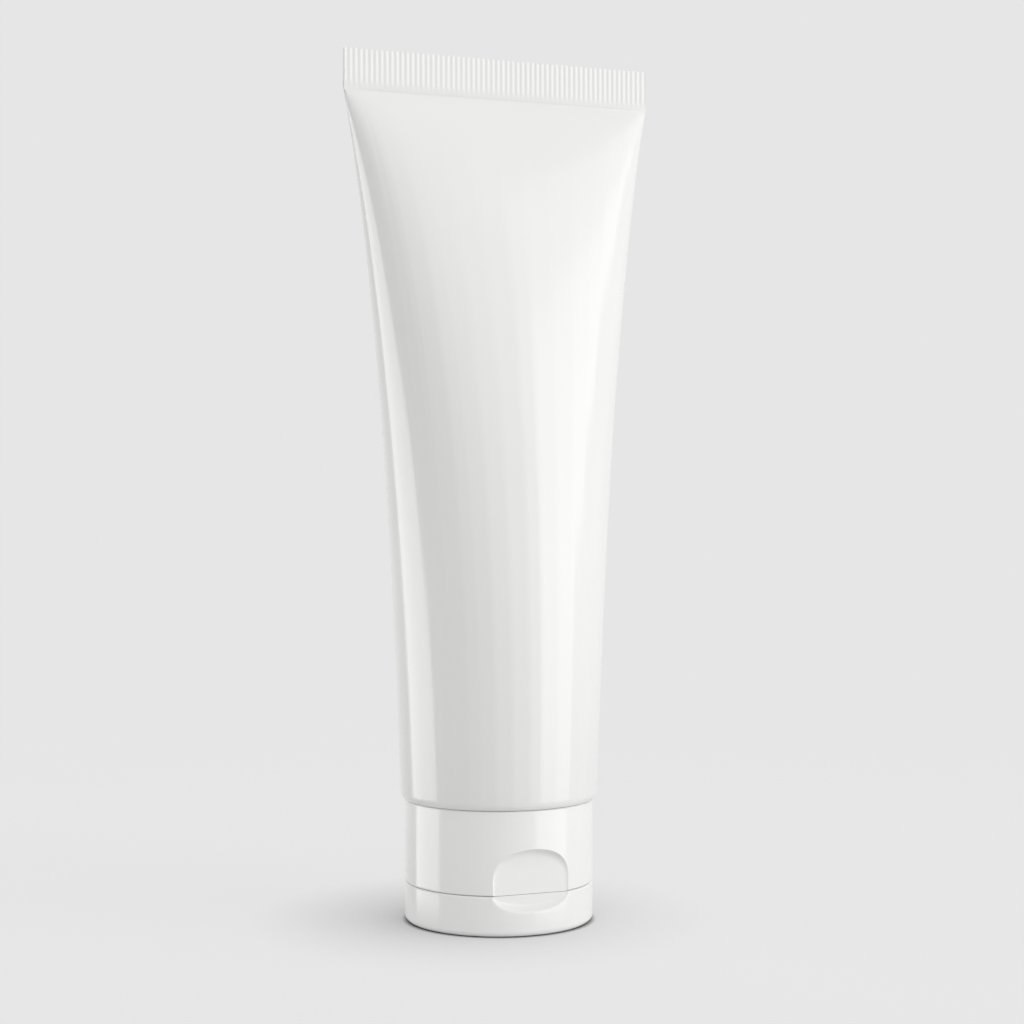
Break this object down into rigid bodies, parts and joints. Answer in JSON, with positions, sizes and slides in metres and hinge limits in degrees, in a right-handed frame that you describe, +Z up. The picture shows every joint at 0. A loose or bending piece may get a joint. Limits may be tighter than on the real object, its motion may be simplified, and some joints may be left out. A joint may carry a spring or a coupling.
{
  "type": "denture adhesive tube",
  "caption": "White squeeze tube of denture adhesive cream, round at the shoulder, flattened into a ribbed crimp, standing on its flip-top closure.",
  "frame": {"origin": "middle of the lid's flat foot, on the surface the tube stands on", "axes": "+Z up along the tube from the closure to the crimp, X along the crimp, -Y to the front, where the thumb recess is"},
  "size_m": [0.0492, 0.0306, 0.131],
  "materials": {
    "sleeve": "white polyethylene tube, soft gloss",
    "closure": "white moulded polypropylene, soft gloss",
    "head": "natural white moulded polyethylene, matt",
    "cream": "pale pink cream, smooth and moist"
  },
  "bodies": {
    "root": {"tube_sleeve": "sleeve", "tube_head": "head", "cream_fill": "cream", "cap_base": "closure", "hinge_web": "closure"},
    "lid": {"flip_lid": "closure"}
  },
  "joints": [
    {"name": "lid_hinge", "type": "hinge", "parent": "root", "child": "lid", "pos_m": [0, 0.01345, 0.00602], "axis": [1, 0, 0], "range_deg": [0, 140]}
  ]
}
